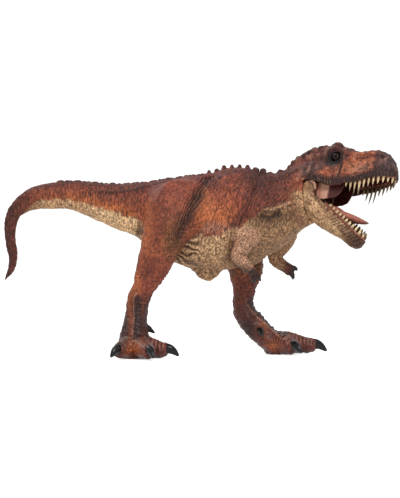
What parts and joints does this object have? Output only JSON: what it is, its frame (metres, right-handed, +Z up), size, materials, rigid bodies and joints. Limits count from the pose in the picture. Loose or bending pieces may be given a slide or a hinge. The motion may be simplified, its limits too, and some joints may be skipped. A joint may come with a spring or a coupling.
{
  "type": "toy dinosaur figure",
  "caption": "Large two-legged meat-eating dinosaur figure in mid stride with a curved tail and a hinged lower jaw that stands open.",
  "frame": {"origin": "on the ground under the middle of the figure's box", "axes": "+X towards the head, +Y towards the figure's left side, +Z up"},
  "size_m": [0.284, 0.1168, 0.1548],
  "materials": {
    "rust_skin": "painted vinyl, satin",
    "cream_skin": "painted vinyl, satin",
    "mouth_skin": "painted vinyl, satin",
    "tooth_cream": "painted, semi-gloss",
    "tongue_pink": "painted, semi-gloss",
    "eye_gloss": "gloss",
    "steel": "plain"
  },
  "bodies": {
    "figure": {"torso": "rust_skin", "tail": "rust_skin", "right_leg": "rust_skin", "left_leg": "rust_skin", "right_arm": "cream_skin", "left_arm": "cream_skin", "head": "rust_skin", "right_eye": "eye_gloss", "left_eye": "eye_gloss", "mouth_lining": "mouth_skin", "upper_teeth": "tooth_cream", "jaw_pin": "steel"},
    "jaw": {"lower_jaw": "cream_skin", "lower_teeth": "tooth_cream", "tongue": "tongue_pink"}
  },
  "joints": [
    {"name": "jaw_hinge", "type": "hinge", "parent": "figure", "child": "jaw", "pos_m": [0.08553, -0.00141, 0.11863], "axis": [0.5383, 0.7717, -0.3387], "range_deg": [-42, 0]}
  ]
}
